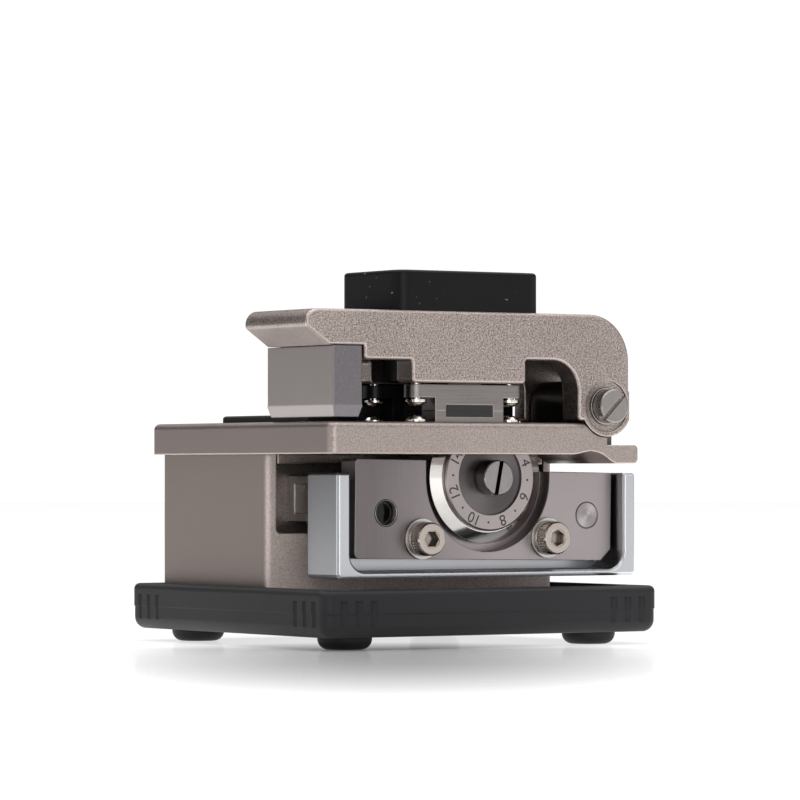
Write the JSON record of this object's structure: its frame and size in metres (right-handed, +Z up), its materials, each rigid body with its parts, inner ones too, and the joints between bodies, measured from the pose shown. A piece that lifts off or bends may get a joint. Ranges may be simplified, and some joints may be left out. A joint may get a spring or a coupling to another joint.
{
  "type": "optical fibre cleaver",
  "caption": "Bench tool that scribes and breaks optical fibre: hinged lid with sprung clamps, sliding carriage with an indexed round blade, rubber footed base.",
  "frame": {"origin": "on the table, under the middle of the overall length and width", "axes": "+Z up, +X towards the blade slide and its dial, -Y towards the user and the lid's finger lip, +Y towards the hinge"},
  "size_m": [0.064, 0.0702, 0.0622],
  "materials": {
    "rubber": "matt moulded rubber",
    "foot_rubber": "matt rubber",
    "sole_steel": "zinc plated sheet",
    "screw_steel": "bright nickel plated",
    "nickel": "bead blasted and nickel plated",
    "bright_steel": "ground and polished",
    "black_metal": "black oxide",
    "clamp_steel": "satin ground",
    "pad": "ground clamp pad",
    "spring_steel": "bright drawn wire",
    "black_plastic": "satin moulded",
    "block_steel": "satin ground",
    "anvil_rubber": "hard rubber",
    "slide_aluminium": "satin anodised",
    "carrier_steel": "fine ground",
    "dark_steel": "dark oxide",
    "blade": "lapped carbide",
    "dial": "satin, engraved numbers"
  },
  "bodies": {
    "base": {"rubber_base": "rubber", "rubber_feet": "foot_rubber", "base_plate": "sole_steel", "base_screws": "screw_steel", "lower_body": "nickel", "top_plate": "nickel", "plate_screws": "screw_steel", "keeper_disc": "bright_steel", "fibre_guide": "black_metal", "guide_screws": "black_metal", "lower_clamp_right": "clamp_steel", "lower_clamp_left": "black_metal", "lower_clamp_pads": "pad", "lower_clamp_screws": "screw_steel", "hinge_block": "dark_steel", "hinge_block_screws": "screw_steel", "hinge_pin": "bright_steel", "hinge_clip": "spring_steel", "hinge_washers": "bright_steel", "slide_rail": "bright_steel", "rail_screws": "screw_steel", "rail_stops": "bright_steel", "stop_screws": "screw_steel"},
    "lid_assembly": {"lid": "nickel", "hinge_bushes": "bright_steel", "lid_cap": "black_plastic", "cap_screws": "screw_steel", "front_block": "block_steel", "front_block_screws": "screw_steel", "lid_magnet": "bright_steel", "clamp_guide_screws": "screw_steel", "clamp_springs_right": "spring_steel", "clamp_springs_left": "spring_steel", "anvil_holder": "black_metal", "anvil_holder_screws": "screw_steel", "anvil_spring": "spring_steel"},
    "right_clamp": {"upper_clamp_right": "clamp_steel", "upper_pad_right": "pad"},
    "left_clamp": {"upper_clamp_left": "black_metal", "upper_pad_left": "pad"},
    "anvil_head": {"anvil": "anvil_rubber"},
    "slide": {"rail_carriage": "bright_steel", "carriage_screws": "screw_steel", "slide_bracket": "slide_aluminium", "pivot_pin": "bright_steel", "lock_screws": "screw_steel", "lock_washers": "bright_steel", "lock_spring_washers": "spring_steel"},
    "carrier": {"blade_carrier": "carrier_steel", "blade_axle": "dark_steel", "dial_screw": "screw_steel"},
    "wheel": {"blade_wheel": "blade", "dial_ring": "dial"},
    "adjuster": {"height_adjuster": "dark_steel"}
  },
  "joints": [
    {"name": "lid_hinge", "type": "hinge", "parent": "base", "child": "lid_assembly", "pos_m": [0.0195, 0.0244, 0.0401], "axis": [-1, 0, 0], "range_deg": [0, 95]},
    {"name": "right_clamp_slide", "type": "slide", "parent": "lid_assembly", "child": "right_clamp", "axis": [0, 0, -1], "range_m": [0, 0.00025], "deforming": ["clamp_springs_right"]},
    {"name": "left_clamp_slide", "type": "slide", "parent": "lid_assembly", "child": "left_clamp", "axis": [0, 0, -1], "range_m": [0, 0.00025], "deforming": ["clamp_springs_left"]},
    {"name": "anvil_slide", "type": "slide", "parent": "lid_assembly", "child": "anvil_head", "axis": [0, 0, 1], "range_m": [0, 0.0008], "stiffness_N_per_m": 300, "springref_m": -0.0006, "deforming": ["anvil_spring"]},
    {"name": "blade_slide", "type": "slide", "parent": "base", "child": "slide", "axis": [0, 1, 0], "range_m": [-0.019, 0]},
    {"name": "carrier_tilt", "type": "hinge", "parent": "slide", "child": "carrier", "pos_m": [0.0175, 0.0269, 0.0217], "axis": [1, 0, 0], "range_deg": [-0.5, 0.5]},
    {"name": "adjuster_turn", "type": "hinge", "parent": "slide", "child": "adjuster", "pos_m": [0.0175, -0.0131, 0.02225], "axis": [1, 0, 0], "range_deg": [-60, 60]},
    {"name": "dial_turn", "type": "hinge", "parent": "carrier", "child": "wheel", "pos_m": [0.0181, 0.007, 0.0281], "axis": [1, 0, 0], "continuous": true}
  ],
  "couplings": [
    {"joint": "right_clamp_slide", "follows": "lid_hinge", "m_per_rad": 0.0001493},
    {"joint": "left_clamp_slide", "follows": "lid_hinge", "m_per_rad": 0.0001493},
    {"joint": "adjuster_turn", "follows": "carrier_tilt", "ratio": 71}
  ]
}
